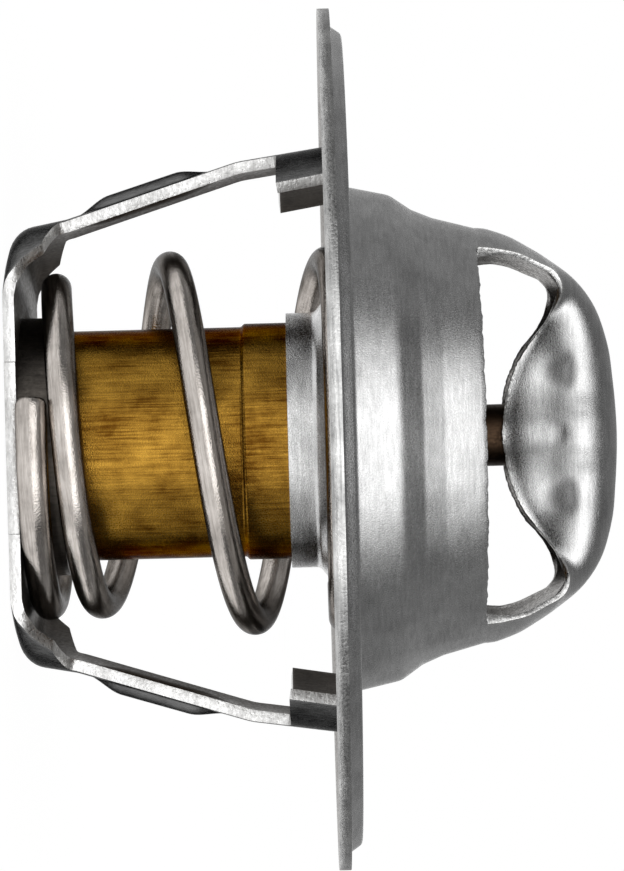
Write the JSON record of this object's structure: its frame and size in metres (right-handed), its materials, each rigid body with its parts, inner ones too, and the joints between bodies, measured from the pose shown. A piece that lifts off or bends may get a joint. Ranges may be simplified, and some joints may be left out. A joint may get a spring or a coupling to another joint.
{
  "type": "engine coolant regulating valve",
  "caption": "Wax element coolant valve for an engine: round flange with a bell and a pinched bridge above, a sprung valve on a brass element inside a two-legged frame below.",
  "frame": {"origin": "centre of the underside of the lower frame's plate, where the part stands", "axes": "+Z along the valve axis towards the bridge; the legs and bridge strips lie along X, the bridge windows face Y"},
  "size_m": [0.054, 0.054, 0.0378],
  "materials": {
    "frame_steel": "satin pressed stainless sheet",
    "carrier_steel": "dull pressed sheet with bright sheared edges",
    "spring_steel": "drawn spring wire",
    "valve_steel": "bright pressed sheet",
    "cup_brass": "drawn and tarnished",
    "guide_brass": "turned",
    "washer_plastic": "plain",
    "sleeve_rubber": "moulded",
    "wax": "cast wax with metal powder",
    "piston_steel": "dark oiled pin"
  },
  "bodies": {
    "frame": {"upper_frame": "frame_steel", "lower_frame": "carrier_steel", "piston": "piston_steel", "return_spring": "spring_steel"},
    "valve": {"valve_plate": "valve_steel", "element_cup": "cup_brass", "guide": "guide_brass", "backup_washer": "washer_plastic", "rubber_sleeve": "sleeve_rubber", "wax_pellet": "wax"}
  },
  "joints": [
    {"name": "valve_travel", "type": "slide", "parent": "frame", "child": "valve", "axis": [0, 0, -1], "range_m": [0, 0.008], "stiffness_N_per_m": 3900, "springref_m": -0.001, "deforming": ["return_spring"]}
  ]
}
